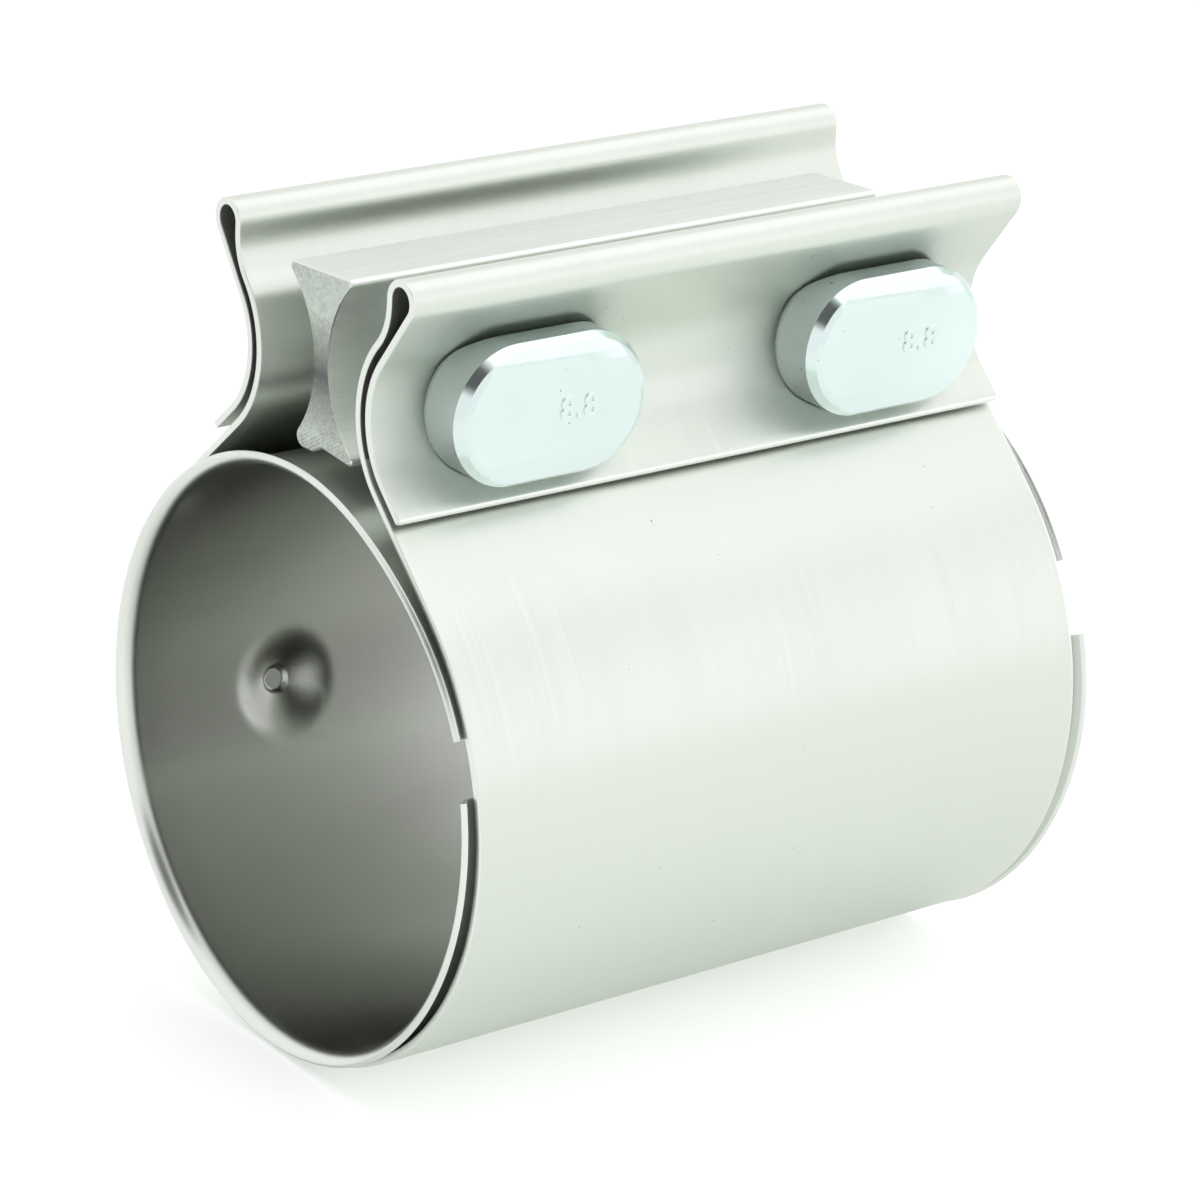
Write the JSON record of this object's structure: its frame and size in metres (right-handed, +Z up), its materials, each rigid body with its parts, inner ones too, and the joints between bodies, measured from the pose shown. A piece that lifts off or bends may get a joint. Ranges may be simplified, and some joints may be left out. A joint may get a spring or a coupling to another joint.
{
  "type": "exhaust clamp",
  "caption": "Wide stainless band clamp with folded bolt flanges, an hourglass spacer bar and a split inner sleeve, for joining exhaust pipe ends.",
  "frame": {"origin": "on the pipe's axis, at the middle of the clamp's length", "axes": "+Y along the pipe towards the rear end, +Z up through the flanges, +X towards the bolt heads"},
  "size_m": [0.0832, 0.1016, 0.1111],
  "materials": {
    "band_sheet": "satin stainless sheet, fine brushing along the pipe",
    "sleeve_sheet": "satin stainless sheet, darker inside",
    "bar_steel": "drawn stainless bar with sawn ends",
    "bolt_steel": "bright cold-formed stainless",
    "saddle_steel": "bright cold-formed stainless",
    "nut_steel": "bright stainless"
  },
  "bodies": {
    "clamp": {"outer_band": "band_sheet", "inner_sleeve": "sleeve_sheet", "bolt_front": "bolt_steel", "bolt_rear": "bolt_steel"},
    "bar": {"spacer_bar": "bar_steel"},
    "front_saddle": {"saddle_front": "saddle_steel"},
    "rear_saddle": {"saddle_rear": "saddle_steel"},
    "front_nut": {"nut_front": "nut_steel"},
    "rear_nut": {"nut_rear": "nut_steel"}
  },
  "joints": [
    {"name": "bar_slide", "type": "slide", "parent": "clamp", "child": "bar", "axis": [1, 0, 0], "range_m": [-0.0084, 0.0047]},
    {"name": "front_saddle_slide", "type": "slide", "parent": "clamp", "child": "front_saddle", "axis": [-1, 0, 0], "range_m": [0, 0.0075]},
    {"name": "rear_saddle_slide", "type": "slide", "parent": "clamp", "child": "rear_saddle", "axis": [-1, 0, 0], "range_m": [0, 0.0075]},
    {"name": "front_nut_turn", "type": "hinge", "parent": "front_saddle", "child": "front_nut", "pos_m": [-0.024, -0.028, 0.0515], "axis": [-1, 0, 0], "range_deg": [0, 1800]},
    {"name": "rear_nut_turn", "type": "hinge", "parent": "rear_saddle", "child": "rear_nut", "pos_m": [-0.024, 0.028, 0.0515], "axis": [-1, 0, 0], "range_deg": [0, 1800]}
  ],
  "couplings": [
    {"joint": "front_nut_turn", "follows": "front_saddle_slide", "rad_per_m": 4188.7},
    {"joint": "rear_nut_turn", "follows": "rear_saddle_slide", "rad_per_m": 4188.7}
  ]
}
